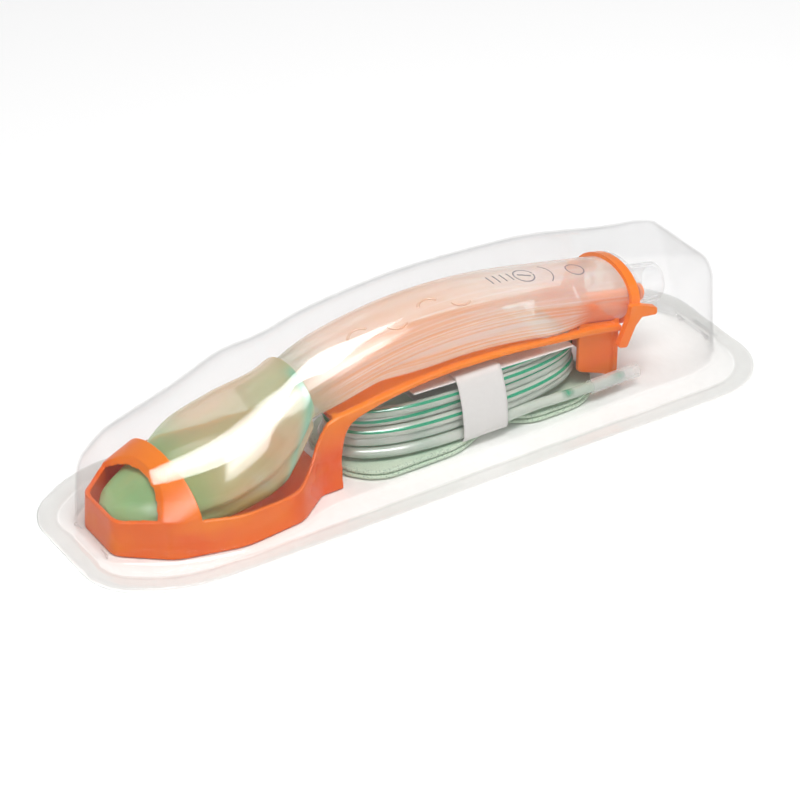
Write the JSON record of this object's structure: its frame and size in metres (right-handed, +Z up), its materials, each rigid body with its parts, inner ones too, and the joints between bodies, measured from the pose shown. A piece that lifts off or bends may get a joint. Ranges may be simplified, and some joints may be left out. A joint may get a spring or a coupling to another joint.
{
  "type": "airway resuscitation pack",
  "caption": "Clear blister pack that holds a curved gel-cuff airway in an orange cradle, with a coiled tube, a folded strap and a sachet.",
  "frame": {"origin": "middle of the underside of the peel-off lid, on the surface that the pack lies on", "axes": "+X from the toe of the cuff to the breathing connector, +Y away from the side where the tube's free end shows, +Z up"},
  "size_m": [0.286, 0.0888, 0.063],
  "materials": {
    "peel_lid": "matte spun-bonded sheet",
    "blister_film": "clear glossy thermoformed film",
    "cradle_orange": "satin orange moulded plastic",
    "clear_gel_stem": "translucent soft elastomer",
    "gel_cuff": "translucent soft gel, green tint",
    "clear_plastic": "clear hard plastic",
    "ring_orange": "glossy orange moulded plastic",
    "tube_pvc": "clear soft tube with a green stripe",
    "sleeve_clear": "clear soft sleeve",
    "strap_foam": "pale green laminated foam",
    "band_paper": "smooth white paper",
    "sachet_film": "white laminated film"
  },
  "bodies": {
    "lid": {"peel_lid": "peel_lid", "support_strap": "strap_foam", "suction_tube_coil": "tube_pvc", "suction_tube_end": "tube_pvc", "tube_sleeve": "sleeve_clear", "paper_band": "band_paper", "lubricant_sachet": "sachet_film"},
    "dome": {"blister_dome": "blister_film", "blister_flange": "blister_film"},
    "cradle": {"cradle_cup": "cradle_orange", "toe_hoop": "cradle_orange", "cradle_rail": "cradle_orange", "rear_leg": "cradle_orange"},
    "airway": {"airway_stem": "clear_gel_stem", "gel_cuff": "gel_cuff", "end_flange": "clear_plastic", "airway_connector": "clear_plastic", "hook_ring": "ring_orange"},
    "plug": {"port_plug": "ring_orange"}
  },
  "joints": [
    {"name": "dome_lift", "type": "slide", "parent": "lid", "child": "dome", "axis": [0, 0, 1], "range_m": [0, 0.17]},
    {"name": "cradle_lift", "type": "slide", "parent": "lid", "child": "cradle", "axis": [0, 0, 1], "range_m": [0, 0.085]},
    {"name": "airway_tilt", "type": "hinge", "parent": "cradle", "child": "airway", "pos_m": [-0.124, 0, 0.008], "axis": [0, -1, 0], "range_deg": [0, 2]},
    {"name": "plug_pull", "type": "slide", "parent": "airway", "child": "plug", "axis": [0.9799, 0, -0.1994], "range_m": [0, 0.022]}
  ],
  "couplings": [
    {"joint": "cradle_lift", "follows": "dome_lift", "ratio": 0.5},
    {"joint": "airway_tilt", "follows": "dome_lift", "rad_per_m": 0.20513}
  ]
}
